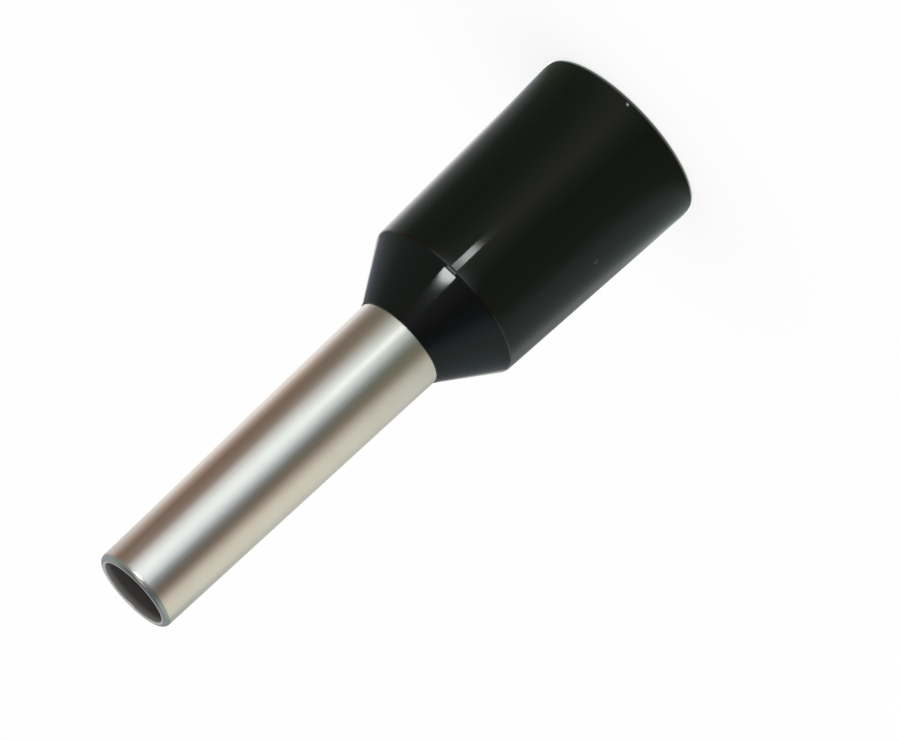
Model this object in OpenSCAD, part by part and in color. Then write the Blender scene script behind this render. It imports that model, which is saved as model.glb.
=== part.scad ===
// Insulated wire ferrule for a 1.5 mm2 stranded conductor, with an 8 mm class pin.
// It stands on the collar's open end: the origin is the centre of that end, and +Z
// runs up the common axis of collar and tube towards the tip of the pin.

/* [Pin] */
// Length of bare pin that stands out of the collar
pin_len = 7.85; // [6:0.05:18]
// Bore of the tube, which takes the bare strands
conductor_bore = 1.70; // [1.5:0.01:1.9]
// Wall of the tube at the tip of the pin
tip_wall = 0.13; // [0.1:0.005:0.16]
// Wall of the tube where it passes through the collar
root_wall = 0.235; // [0.17:0.005:0.26]
// Radius that rounds the outer edge of the tip
tip_round = 0.12; // [0.03:0.01:0.12]
// Distance that the cut edge of the tip leans in over the bore
tip_lean = 0.04; // [0.02:0.01:0.06]
// Length of the bore that narrows to that edge
tip_lean_len = 0.15; // [0.1:0.05:0.4]

/* [Belled end of the tube] */
// Room between the bell's rim and the collar's bore
bell_rim_room = 0.25; // [0.1:0.01:0.3]
// Wall of the bell, measured square to its surface
bell_wall = 0.15; // [0.1:0.01:0.17]
// Inside bend radius, from the bore into the bell
bell_bend = 0.40; // [0.1:0.05:0.6]

/* [Collar, inside] */
// Bore that takes the wire's insulation
insulation_bore = 3.40; // [3.1:0.05:3.8]
// Depth and width of the lead-in chamfer at the open end
lead_in = 0.12; // [0.04:0.01:0.15]
// Wall of the cone, measured square to its surface
cone_wall = 0.33; // [0.25:0.01:0.4]
// Radius of the edge that the bell of the tube bends round
seat_round = 0.15; // [0.05:0.01:0.3]

/* [Collar, outside] */
// Length of the whole collar
collar_len = 6.65; // [5:0.05:9]
// Wall at the open end
lip_wall = 0.43; // [0.32:0.01:0.6]
// Wall at the shoulder, where the cone begins
shoulder_wall = 0.25; // [0.2:0.01:0.32]
// Axial length of the cone, from the shoulder to its thin edge on the tube
cone_len = 1.30; // [1:0.02:1.6]
// Wall that is left at the thin edge of the cone
edge_wall = 0.02; // [0.01:0.005:0.1]
// Radius that rounds the shoulder
shoulder_round = 0.15; // [0.1:0.05:0.8]
// Radius that rounds the outer edge of the open end
lip_round = 0.10; // [0.05:0.01:0.15]

/* [Fit] */
// Gap between the tube and the collar that is moulded round it
seat_gap = 0.01; // [0.005:0.005:0.03]

/* [Hidden] */
$fn = 96;
arc_steps = 6;

// Heights along the axis
overall_len = collar_len + pin_len;
shoulder_z = collar_len - cone_len;

// Radii of the tube, and of the collar that follows it
bore_r = conductor_bore / 2;
mouth_r = bore_r - tip_lean;
tip_r = bore_r + tip_wall;
root_r = bore_r + root_wall;
neck_bore_r = root_r + seat_gap;
edge_r = neck_bore_r + edge_wall;
insulation_r = insulation_bore / 2;
lip_r = insulation_r + lip_wall;
shoulder_r = insulation_r + shoulder_wall;
bell_r = insulation_r - bell_rim_room;

// Rounding that takes most of the tip's thickness that the outer rounding leaves
tip_inner_round = 0.9 * (tip_r - mouth_r - tip_round) * tan(45 - atan(tip_lean / tip_lean_len) / 2);

// The cone, and the depths under its outer surface of the seat and of the bell's faces
cone_slope = (shoulder_r - edge_r) / cone_len;
cone_angle = atan(cone_slope);
bell_back = cone_wall + seat_gap;
bell_front = bell_back + bell_wall;

// Radius and height of the point that lies at that depth under the cone and has radius r
function under_cone(r, depth) = [r, collar_len - (r - edge_r + depth / cos(cone_angle)) / cone_slope];

function unit(v) = v / norm(v);

// Arc of radius r that rounds corner p of the outline a-p-b
function arc_at(a, p, b, r) =
    let (
        u = unit(a - p),
        v = unit(b - p),
        half = acos(u * v) / 2,
        centre = p + unit(u + v) * r / sin(half),
        first = p + u * r / tan(half) - centre,
        last = p + v * r / tan(half) - centre,
        start = atan2(first.y, first.x),
        turn = atan2(cross(first, last), first * last)
    )
    [
        for (i = [0:arc_steps])
            let (angle = start + turn * i / arc_steps)
            centre + r * [cos(angle), sin(angle)]
    ];

// Closed outline through the corners [point, radius], each rounded by its own radius
function rounded(corners) =
    let (n = len(corners))
    [
        for (i = [0:n - 1])
            let (
                before = corners[(i + n - 1) % n][0],
                here = corners[i][0],
                after = corners[(i + 1) % n][0],
                r = corners[i][1]
            )
            each r > 0 ? arc_at(before, here, after, r) : [here]
    ];

// Tin-plated copper tube: a slightly tapered pin with a rounded tip, straight through
// the collar's neck, then belled out against the inside of the collar's cone, which
// locks it in place
module crimp_tube() {
    bell_rim = under_cone(bell_r, bell_back);
    square_to_cone = [-cos(cone_angle), -sin(cone_angle)];
    color([0.80, 0.79, 0.76])
        rotate_extrude()
            polygon(rounded([
                [[tip_r, overall_len], tip_round],
                [[mouth_r, overall_len], tip_inner_round],
                [[bore_r, overall_len - tip_lean_len], 0],
                [under_cone(bore_r, bell_front), bell_bend],
                [bell_rim + square_to_cone * bell_wall, 0],
                [bell_rim, 0],
                [under_cone(root_r, bell_back), seat_round + seat_gap],
                [[root_r, collar_len], 0]
            ]));
}

// Moulded collar: drafted skirt over the insulation, rounded shoulder and cone that
// thins to an edge on the tube; lead-in, bore and seat for the bell inside
module insulating_collar() {
    color([0.09, 0.10, 0.10])
        rotate_extrude()
            polygon(rounded([
                [[lip_r, 0], lip_round],
                [[shoulder_r, shoulder_z], shoulder_round],
                [[edge_r, collar_len], 0],
                [[neck_bore_r, collar_len], 0],
                [under_cone(neck_bore_r, cone_wall), seat_round],
                [under_cone(insulation_r, cone_wall), 0],
                [[insulation_r, lead_in], 0],
                [[insulation_r + lead_in, 0], 0]
            ]));
}

crimp_tube();
insulating_collar();
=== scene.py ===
# An insulated wire ferrule, standing on the open end of its collar: a tin-plated
# copper tube, drawn and belled, in a moulded black collar. All sizes are in metres.
import math

import bmesh
import bpy
from mathutils import Matrix, Vector


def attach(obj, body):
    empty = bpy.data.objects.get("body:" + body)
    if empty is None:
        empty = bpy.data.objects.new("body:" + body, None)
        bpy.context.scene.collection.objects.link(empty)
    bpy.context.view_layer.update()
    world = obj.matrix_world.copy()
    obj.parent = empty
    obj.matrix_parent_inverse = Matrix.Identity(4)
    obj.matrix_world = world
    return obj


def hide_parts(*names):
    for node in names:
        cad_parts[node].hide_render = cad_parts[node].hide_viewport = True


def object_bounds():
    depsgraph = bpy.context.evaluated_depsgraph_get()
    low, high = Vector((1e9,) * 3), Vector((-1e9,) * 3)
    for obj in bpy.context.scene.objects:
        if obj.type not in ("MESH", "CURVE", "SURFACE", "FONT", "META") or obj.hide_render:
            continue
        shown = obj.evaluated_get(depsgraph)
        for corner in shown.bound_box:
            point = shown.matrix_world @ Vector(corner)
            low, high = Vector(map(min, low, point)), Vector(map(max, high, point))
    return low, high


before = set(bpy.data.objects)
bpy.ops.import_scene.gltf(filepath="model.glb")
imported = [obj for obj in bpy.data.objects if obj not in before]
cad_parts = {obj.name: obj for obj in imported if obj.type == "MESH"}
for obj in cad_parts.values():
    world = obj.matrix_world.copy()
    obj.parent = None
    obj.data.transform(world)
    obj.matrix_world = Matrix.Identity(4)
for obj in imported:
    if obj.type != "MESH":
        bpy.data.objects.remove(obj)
cad_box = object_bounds()
low, high = cad_box
mm = 0.001

# ---- Camera -------------------------------------------------------------------------
# A long lens looks at the standing ferrule from a little above the horizon, and is
# rolled so that the tip of the pin points to the lower left of the picture.
camera_height = math.radians(17)
camera_roll = math.radians(133.3)
camera_distance = 180 * mm
camera_lens = 1.928 * camera_distance / mm
aim_sideways, aim_up = -1.129 * mm, -0.944 * mm

centre = (low + high) / 2
sideways = Vector((1, 0, 0))
towards_camera = Vector((0, -math.cos(camera_height), math.sin(camera_height)))
upright = towards_camera.cross(sideways)
picture_up = math.sin(camera_roll) * sideways + math.cos(camera_roll) * upright
picture_right = picture_up.cross(towards_camera)

bpy.ops.object.camera_add(
    location=centre + aim_sideways * sideways + aim_up * upright + camera_distance * towards_camera
)
camera = bpy.context.object
camera.rotation_mode = "QUATERNION"
camera_turn = Matrix((picture_right, picture_up, towards_camera)).transposed()
camera.rotation_quaternion = camera_turn.to_quaternion()
camera.data.lens = camera_lens
camera.data.clip_start = 5 * mm
camera.data.clip_end = 2.0
bpy.context.scene.camera = camera
bpy.context.scene.view_settings.view_transform = "Standard"

# ---- Tinned tube --------------------------------------------------------------------
# The tube is copper, drawn thin, cut to length and plated with satin tin. Its pin tapers a
# little towards the rounded tip, and its hidden end is belled out against the inside of
# the collar's cone, which locks the two together.
TURNED_STEPS = 192


def draw_half_section(name, corners):
    """Draw the closed outline through corners (radius, height, rounding in mm) beside the axis."""
    bpy.ops.mesh.primitive_plane_add(size=1 * mm)
    piece = bpy.context.object
    piece.name = piece.data.name = name
    bpy.ops.object.mode_set(mode="EDIT")
    bpy.ops.mesh.select_all(action="SELECT")
    bpy.ops.mesh.merge(type="CENTER")
    radius, height, _ = corners[0]
    bpy.ops.transform.translate(value=(radius * mm, 0, height * mm))
    for before, here in zip(corners, corners[1:]):
        step = ((here[0] - before[0]) * mm, 0, (here[1] - before[1]) * mm)
        bpy.ops.mesh.extrude_region_move(TRANSFORM_OT_translate={"value": step})
    mesh = bmesh.from_edit_mesh(piece.data)
    mesh.verts.ensure_lookup_table()
    for vert in mesh.verts:
        vert.select = vert.index in (0, len(corners) - 1)
    bmesh.update_edit_mesh(piece.data)
    bpy.ops.mesh.edge_face_add()
    return piece


def round_corner(piece, before, here, after):
    """Round one corner of the outline by its own radius."""
    into = Vector((before[0] - here[0], before[1] - here[1])).normalized()
    out = Vector((after[0] - here[0], after[1] - here[1])).normalized()
    half = into.angle(out) / 2
    bpy.ops.mesh.select_all(action="DESELECT")
    mesh = bmesh.from_edit_mesh(piece.data)
    corner = Vector((here[0] * mm, 0, here[1] * mm))
    nearest = min(mesh.verts, key=lambda vert: (vert.co - corner).length)
    nearest.select = True
    bmesh.update_edit_mesh(piece.data)
    bpy.ops.mesh.bevel(
        offset_type="OFFSET", offset=here[2] * mm / math.tan(half), segments=10, profile=0.5,
        affect="VERTICES", clamp_overlap=False,
    )


def turn_half_section(piece):
    """Spin the outline once round the axis and close the seam."""
    bpy.ops.mesh.select_all(action="SELECT")
    bpy.ops.mesh.spin(
        steps=TURNED_STEPS, angle=2 * math.pi, use_auto_merge=True, center=(0, 0, 0), axis=(0, 0, 1)
    )
    bpy.ops.mesh.select_all(action="SELECT")
    bpy.ops.mesh.remove_doubles(threshold=0.001 * mm)
    bpy.ops.mesh.normals_make_consistent(inside=False)
    bpy.ops.mesh.select_all(action="DESELECT")
    bpy.ops.object.mode_set(mode="OBJECT")
    bpy.ops.object.transform_apply(location=True, rotation=True, scale=True)
    bpy.ops.object.shade_smooth_by_angle(angle=math.radians(28))


def turned_piece(name, corners):
    """Turn a solid ring from its half-section; corners with no rounding stay sharp or hold the shading."""
    piece = draw_half_section(name, corners)
    count = len(corners)
    for i, here in enumerate(corners):
        if here[2] > 0:
            round_corner(piece, corners[i - 1], here, corners[(i + 1) % count])
    turn_half_section(piece)
    return piece


tube = turned_piece("tinned_tube", [
    (0.9819, 14.36, 0),
    (0.98, 14.50, 0.12),
    (0.81, 14.50, 0.0346),
    (0.85, 14.35, 0),
    (0.85, 6.156, 0.40),
    (1.3238, 5.4182, 0),
    (1.45, 5.4993, 0),
    (1.085, 6.0676, 0.16),
    (1.085, 6.65, 0),
])


def add_node(material, kind, inputs=(), **settings):
    """Add a shader node; inputs gives each socket a value, or the output that feeds it."""
    node = material.node_tree.nodes.new(kind)
    for name, value in settings.items():
        setattr(node, name, value)
    for socket, value in dict(inputs).items():
        if isinstance(value, bpy.types.NodeSocket):
            material.node_tree.links.new(value, node.inputs[socket])
        else:
            node.inputs[socket].default_value = value
    return node


def new_finish(name):
    """Start a finish that has only its main shader."""
    finish = bpy.data.materials.new(name)
    finish.use_nodes = True
    return finish, finish.node_tree.nodes["Principled BSDF"]


# Satin tin: faint lines run along the tube where the die drew it, and soft cloudy patches lie
# over them. The bore is duller, and its colour is painted shade: dark deep inside, and paler
# just below the cut edge of its mouth.
tin, tin_shader = new_finish("satin_tin")
tin_place = add_node(tin, "ShaderNodeTexCoord").outputs["Object"]
tin_along = add_node(tin, "ShaderNodeMapping", {"Vector": tin_place, "Scale": (1, 1, 0.012)})
drawn = add_node(
    tin, "ShaderNodeTexNoise", {"Vector": tin_along.outputs["Vector"], "Scale": 9000, "Detail": 3}
).outputs["Fac"]
cloud = add_node(
    tin, "ShaderNodeTexNoise", {"Vector": tin_place, "Scale": 1400, "Detail": 4}
).outputs["Fac"]
tin_flat = add_node(tin, "ShaderNodeVectorMath", {0: tin_place, 1: (1, 1, 0)}, operation="MULTIPLY")
tin_radius = add_node(tin, "ShaderNodeVectorMath", {0: tin_flat.outputs["Vector"]}, operation="LENGTH")
in_bore = add_node(tin, "ShaderNodeMapRange", {
    "Value": tin_radius.outputs["Value"],
    "From Min": 0.858 * mm, "From Max": 0.872 * mm, "To Min": 1, "To Max": 0,
}).outputs["Result"]
tin_patches = add_node(tin, "ShaderNodeMix", {
    0: cloud, 6: (0.79, 0.765, 0.72, 1), 7: (0.70, 0.675, 0.63, 1),
}, data_type="RGBA")
tin_colour = add_node(tin, "ShaderNodeMix", {
    0: in_bore, 6: tin_patches.outputs[2],
}, data_type="RGBA")
mouth_top, mouth_bottom = high.z - 0.02 * mm, high.z - 0.22 * mm
bore_height = add_node(tin, "ShaderNodeSeparateXYZ", {"Vector": tin_place}).outputs["Z"]
near_mouth = add_node(tin, "ShaderNodeMapRange", {
    "Value": bore_height, "From Min": mouth_bottom, "From Max": mouth_top,
}, interpolation_type="SMOOTHSTEP").outputs["Result"]
# Painted shade in the bore: dark deep inside, paler just below the mouth.
bore_painted_shade = add_node(tin, "ShaderNodeMix", {
    0: near_mouth, 6: (0.16, 0.15, 0.14, 1), 7: (0.62, 0.60, 0.57, 1),
}, data_type="RGBA")
tin.node_tree.links.new(bore_painted_shade.outputs[2], tin_colour.inputs[7])
tin_metal = add_node(tin, "ShaderNodeMapRange", {"Value": in_bore, "To Min": 1, "To Max": 0.35})
tin_satin = add_node(tin, "ShaderNodeMapRange", {"Value": drawn, "To Min": 0.24, "To Max": 0.36})
tin_relief = add_node(tin, "ShaderNodeBump", {"Height": drawn, "Distance": 0.0012 * mm, "Strength": 1})
for socket, output in (
    ("Base Color", tin_colour.outputs[2]),
    ("Metallic", tin_metal.outputs["Result"]),
    ("Roughness", tin_satin.outputs["Result"]),
    ("Normal", tin_relief.outputs["Normal"]),
):
    tin.node_tree.links.new(output, tin_shader.inputs[socket])
tube.data.materials.append(tin)
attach(tube, "root")
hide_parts("crimp_tube")

# ---- Black collar -------------------------------------------------------------------
# The collar is moulded in one piece from black plastic: a skirt with a little draft, a
# rounded lip at the open end, a shoulder, and a cone that thins to an edge on the tube.
collar = turned_piece("black_collar", [
    (1.82, 0, 0),
    (2.01, 0, 0),
    (2.13, 0, 0.10),
    (2.126, 0.12, 0),
    (1.9524, 5.28, 0),
    (1.95, 5.35, 0.15),
    (1.9122, 5.4089, 0),
    (1.115, 6.65, 0),
    (1.095, 6.65, 0),
    (1.095, 6.0705, 0.15),
    (1.70, 5.1286, 0),
    (1.70, 0.12, 0),
])

# Black plastic with the mould's gloss, hardly wavy, and a tiny raised spot on the skirt
# that is a little paler than the rest.
black, black_shader = new_finish("gloss_black")
black_place = add_node(black, "ShaderNodeTexCoord").outputs["Object"]
swell = add_node(
    black, "ShaderNodeTexNoise", {"Vector": black_place, "Scale": 420, "Detail": 1}
).outputs["Fac"]
speck_reach = add_node(black, "ShaderNodeVectorMath", {
    0: black_place, 1: (-1.563 * mm, -1.311 * mm, 2.75 * mm),
}, operation="DISTANCE")
pale_speck = add_node(black, "ShaderNodeMapRange", {
    "Value": speck_reach.outputs["Value"],
    "From Min": 0.035 * mm, "From Max": 0.065 * mm, "To Min": 1, "To Max": 0,
}, interpolation_type="SMOOTHSTEP").outputs["Result"]
black_swell = add_node(black, "ShaderNodeBump", {"Height": swell, "Distance": 0.004 * mm, "Strength": 1})
black_relief = add_node(black, "ShaderNodeBump", {
    "Height": pale_speck, "Distance": 0.008 * mm, "Strength": 1, "Normal": black_swell.outputs["Normal"],
})
# The tiny raised spot on the skirt is painted a little paler than the black.
black_colour = add_node(black, "ShaderNodeMix", {
    0: pale_speck, 6: (0.0022, 0.0026, 0.0023, 1), 7: (0.016, 0.017, 0.016, 1),
}, data_type="RGBA")
black_shader.inputs["Roughness"].default_value = 0.06
black_shader.inputs["IOR"].default_value = 1.45
black.node_tree.links.new(black_colour.outputs[2], black_shader.inputs["Base Color"])
black.node_tree.links.new(black_relief.outputs["Normal"], black_shader.inputs["Normal"])
collar.data.materials.append(black)
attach(collar, "root")
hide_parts("insulating_collar")

# ---- Floor --------------------------------------------------------------------------
# A pale matt table top, which shows nearly white and keeps the ferrule's soft shadow.
bpy.ops.mesh.primitive_plane_add(size=1.4)
floor = bpy.context.object
floor.name = floor.data.name = "table_top"
pale, pale_shader = new_finish("pale_table")
pale_shader.inputs["Base Color"].default_value = (0.93, 0.93, 0.93, 1)
pale_shader.inputs["Roughness"].default_value = 1
pale_shader.inputs["Specular IOR Level"].default_value = 0
white = add_node(pale, "ShaderNodeEmission", {"Color": (1, 1, 1, 1), "Strength": 1})


def seen_directly(material):
    """Is 1 for what the camera, a shiny surface or a clear one shows, and 0 for plain lighting."""
    ray = add_node(material, "ShaderNodeLightPath").outputs
    either = add_node(material, "ShaderNodeMath", {
        0: ray["Is Camera Ray"], 1: ray["Is Glossy Ray"],
    }, operation="MAXIMUM")
    return add_node(material, "ShaderNodeMath", {
        0: either.outputs["Value"], 1: ray["Is Transmission Ray"],
    }, operation="MAXIMUM").outputs["Value"]


whitened = add_node(pale, "ShaderNodeMath", {0: seen_directly(pale), 1: 0.8}, operation="MULTIPLY")
pale_mix = add_node(pale, "ShaderNodeMixShader", {
    0: whitened.outputs["Value"], 1: pale_shader.outputs["BSDF"], 2: white.outputs["Emission"],
})
pale.node_tree.links.new(
    pale_mix.outputs["Shader"], pale.node_tree.nodes["Material Output"].inputs["Surface"]
)
floor.data.materials.append(pale)

# ---- Room light ---------------------------------------------------------------------
# Even white light from all round, and a broad soft box above and a little to the left.
world = bpy.data.worlds.new("studio")
bpy.context.scene.world = world
world.use_nodes = True
world_light = world.node_tree.nodes["Background"]
shown = add_node(world, "ShaderNodeMix", {
    0: seen_directly(world), 6: (0.80, 0.80, 0.80, 1), 7: (1, 1, 1, 1),
}, data_type="RGBA")
world.node_tree.links.new(shown.outputs[2], world_light.inputs["Color"])
world_light.inputs["Strength"].default_value = 1


def soft_box(name, place, width, depth, power):
    """Hang a soft box at place, turned towards the ferrule."""
    bpy.ops.object.light_add(type="AREA", location=place)
    box = bpy.context.object
    box.name = box.data.name = name
    box.data.shape = "RECTANGLE"
    box.data.size, box.data.size_y = width, depth
    box.data.energy = power
    box.rotation_euler = (centre - Vector(place)).to_track_quat("-Z", "Y").to_euler()
    box.visible_camera = box.visible_glossy = False
    return box


soft_box("top_box", (-0.06, -0.05, 0.32), 0.26, 0.26, 0.35)

# ---- Light tent ---------------------------------------------------------------------
# A round tent glowing in white, brown and dark bands stands about the ferrule: painted reflections.
# Only shiny surfaces show it, so that it lights nothing matt and hides nothing from the camera.
TENT_RADIUS = 80 * mm


def hang_for_gloss(cloth):
    """Let only shiny surfaces show this part of the tent."""
    cloth.visible_camera = cloth.visible_diffuse = cloth.visible_shadow = False
    cloth.visible_transmission = cloth.visible_volume_scatter = False


def add_colour_ring(material, azimuth, stops):
    """Give the colour round the tent; stops are (degrees from the front, towards +X, colour)."""
    ramp = add_node(material, "ShaderNodeValToRGB", {"Fac": azimuth})
    points = ramp.color_ramp.elements
    while len(points) < len(stops):
        points.new(0.5)
    for point, (degrees, colour) in zip(points, stops):
        point.position = 0.5 + degrees / 360
        point.color = (*colour, 1)
    return ramp.outputs["Color"]


reflection_tent_glow, unused_shader = new_finish("reflection_tent_glow")
reflection_tent_glow.node_tree.nodes.remove(unused_shader)
tent_place = add_node(reflection_tent_glow, "ShaderNodeTexCoord").outputs["Object"]
tent_axes = add_node(reflection_tent_glow, "ShaderNodeSeparateXYZ", {"Vector": tent_place}).outputs
front = add_node(reflection_tent_glow, "ShaderNodeMath", {0: tent_axes["Y"], 1: -1}, operation="MULTIPLY")
turn = add_node(reflection_tent_glow, "ShaderNodeMath", {
    0: tent_axes["X"], 1: front.outputs["Value"],
}, operation="ARCTAN2")
azimuth = add_node(reflection_tent_glow, "ShaderNodeMath", {
    0: turn.outputs["Value"], 1: 1 / (2 * math.pi), 2: 0.5,
}, operation="MULTIPLY_ADD").outputs["Value"]

# The glow's painted reflections change colour round the axis, in four parts: the collar shows the
# near part of the base, the pin shows the far part, the cone shows the sides, and the tip shows the top.
table_near = add_colour_ring(reflection_tent_glow, azimuth, [
    (-180, (0.30, 0.30, 0.29)),
    (-150, (0.34, 0.36, 0.34)),
    (-130, (0.62, 0.68, 0.65)),
    (-112, (0.42, 0.50, 0.50)),
    (-75, (0.38, 0.45, 0.42)),
    (-57, (0.19, 0.23, 0.15)),
    (-15, (0.16, 0.20, 0.11)),
    (-3, (0.22, 0.26, 0.19)),
    (14, (0.44, 0.46, 0.35)),
    (46, (0.22, 0.26, 0.17)),
    (65, (0.15, 0.19, 0.12)),
    (98, (0.17, 0.21, 0.15)),
    (126, (0.53, 0.54, 0.57)),
    (145, (1.30, 1.30, 1.34)),
    (180, (1.00, 1.00, 1.00)),
])
table_far = add_colour_ring(reflection_tent_glow, azimuth, [
    (-180, (0.80, 0.80, 0.76)),
    (-150, (0.62, 0.62, 0.57)),
    (-115, (0.84, 0.83, 0.72)),
    (-78, (0.88, 0.83, 0.73)),
    (-62, (0.64, 0.54, 0.46)),
    (-48, (0.22, 0.15, 0.11)),
    (-22, (0.13, 0.12, 0.11)),
    (-8, (0.58, 0.64, 0.72)),
    (3, (1.10, 1.20, 1.27)),
    (30, (1.16, 1.26, 1.30)),
    (47, (0.84, 0.80, 0.80)),
    (62, (0.29, 0.20, 0.17)),
    (96, (0.20, 0.12, 0.08)),
    (114, (0.46, 0.33, 0.28)),
    (135, (1.05, 0.96, 0.92)),
    (180, (1.20, 1.20, 1.16)),
])
tent_sides = add_colour_ring(reflection_tent_glow, azimuth, [
    (-180, (0.34, 0.35, 0.38)),
    (-140, (0.28, 0.32, 0.34)),
    (-112, (0.36, 0.44, 0.44)),
    (-84, (0.40, 0.46, 0.46)),
    (-68, (0.27, 0.34, 0.36)),
    (-52, (0.10, 0.14, 0.16)),
    (-30, (0.08, 0.08, 0.09)),
    (-14, (0.14, 0.13, 0.15)),
    (16, (0.25, 0.26, 0.27)),
    (45, (0.22, 0.24, 0.20)),
    (80, (0.21, 0.25, 0.22)),
    (106, (0.24, 0.29, 0.26)),
    (122, (0.33, 0.40, 0.38)),
    (150, (0.37, 0.39, 0.46)),
    (180, (0.34, 0.35, 0.38)),
])
tent_top = add_colour_ring(reflection_tent_glow, azimuth, [
    (-8, (0.10, 0.10, 0.12)), (8, (1.1, 1.15, 1.15)), (30, (1.1, 1.15, 1.15)), (46, (0.10, 0.10, 0.12)),
])
behind = add_colour_ring(reflection_tent_glow, azimuth, [
    (-134, (1, 1, 1)), (-118, (0, 0, 0)), (118, (0, 0, 0)), (134, (1, 1, 1)),
])


def fade(position, start, end):
    """Go smoothly from 0 to 1 between two positions, in mm."""
    return add_node(reflection_tent_glow, "ShaderNodeMapRange", {
        "Value": position, "From Min": start * mm, "From Max": end * mm,
    }, interpolation_type="SMOOTHSTEP").outputs["Result"]


def blend_tent_glow(factor, first, second):
    """Mix two colours of the tent's glow."""
    return add_node(
        reflection_tent_glow, "ShaderNodeMix", {0: factor, 6: first, 7: second}, data_type="RGBA"
    ).outputs[2]


# Where each part of the tent's glow goes over into the next: from the axis, then up from the table
near_end, far_end = (22.8, 24.4), (55, 60)
sides_start, top_start = (3, 14), (63, 72)

tent_flat = add_node(
    reflection_tent_glow, "ShaderNodeVectorMath", {0: tent_place, 1: (1, 1, 0)}, operation="MULTIPLY"
)
tent_reach = add_node(
    reflection_tent_glow, "ShaderNodeVectorMath", {0: tent_flat.outputs["Vector"]}, operation="LENGTH"
).outputs["Value"]
table_glow = blend_tent_glow(fade(tent_reach, *near_end), table_near, table_far)
table_edge = blend_tent_glow(behind, table_far, tent_sides)
table_glow = blend_tent_glow(fade(tent_reach, *far_end), table_glow, table_edge)
painted_reflection_colour = blend_tent_glow(fade(tent_axes["Z"], *sides_start), table_glow, tent_sides)
painted_reflection_colour = blend_tent_glow(fade(tent_axes["Z"], *top_start), painted_reflection_colour, tent_top)
# Painted reflections: the tent glows in these colours, and only shiny surfaces show it.
cloth_glow = add_node(reflection_tent_glow, "ShaderNodeEmission", {"Color": painted_reflection_colour, "Strength": 1})
reflection_tent_glow.node_tree.links.new(
    cloth_glow.outputs["Emission"], reflection_tent_glow.node_tree.nodes["Material Output"].inputs["Surface"]
)

bpy.ops.mesh.primitive_uv_sphere_add(segments=96, ring_count=48, radius=TENT_RADIUS)
tent = bpy.context.object
tent.name = tent.data.name = "tent_wall"
tent.data.materials.append(reflection_tent_glow)
hang_for_gloss(tent)

bpy.ops.mesh.primitive_circle_add(
    vertices=96, radius=TENT_RADIUS, fill_type="NGON", location=(0, 0, 0.004 * mm)
)
tent_base = bpy.context.object
tent_base.name = tent_base.data.name = "tent_base"
bpy.ops.object.transform_apply(location=True, rotation=True, scale=True)
tent_base.data.materials.append(reflection_tent_glow)
hang_for_gloss(tent_base)


def add_lit_card(name, corners, strength, colour=(0.93, 1, 0.97)):
    """Put up a small bright card through four corners (degrees from the front, distance, height in mm)."""
    bpy.ops.mesh.primitive_plane_add(size=1 * mm)
    card = bpy.context.object
    card.name = card.data.name = name
    for vert, (degrees, distance, height) in zip(card.data.vertices, corners):
        angle = math.radians(degrees)
        vert.co = (distance * mm * math.sin(angle), -distance * mm * math.cos(angle), height * mm)
    glow, glow_shader = new_finish(name)
    glow_shader.inputs["Base Color"].default_value = (0, 0, 0, 1)
    glow_shader.inputs["Specular IOR Level"].default_value = 0
    glow_shader.inputs["Emission Color"].default_value = (*colour, 1)
    glow_shader.inputs["Emission Strength"].default_value = strength
    card.data.materials.append(glow)
    hang_for_gloss(card)


# The bright cards: a far and a near one for the glint on the shoulder, two on the table for
# the streak below it, a small one for the dot on the collar's lip, and a ring of cards
# close round that lip. Those on the table lie a hair above the tent's base.
ON_BASE = 0.02
add_lit_card("tall_card", [(14, 70, 14), (28, 70, 14), (14, 70, 50), (28, 70, 50)], 4)
add_lit_card("glint_card", [(13, 14, 17.9), (32, 14, 17.2), (12, 14, 18.9), (34, 14, 17.95)], 19)


def add_table_card(name, sweep, reach, height, strength):
    """Lay a card on the table between two directions and two distances from the axis."""
    add_lit_card(name, [(degrees, far, height) for far in reach for degrees in sweep], strength)


add_table_card("streak_card", (15, 23.4), (20.6, 22.6), ON_BASE, 12)
add_table_card("streak_end", (15, 24), (22.6, 24.1), ON_BASE, 5)
add_table_card("lip_glint", (10.4, 12.2), (2.50, 2.68), ON_BASE, 9)
lip_cards = 36
lip_sweep = 360 / lip_cards
for step in range(lip_cards):
    add_table_card(
        f"lip_ring_{step + 1}", (step * lip_sweep, (step + 1) * lip_sweep), (2.04, 2.24), ON_BASE / 2, 2
    )
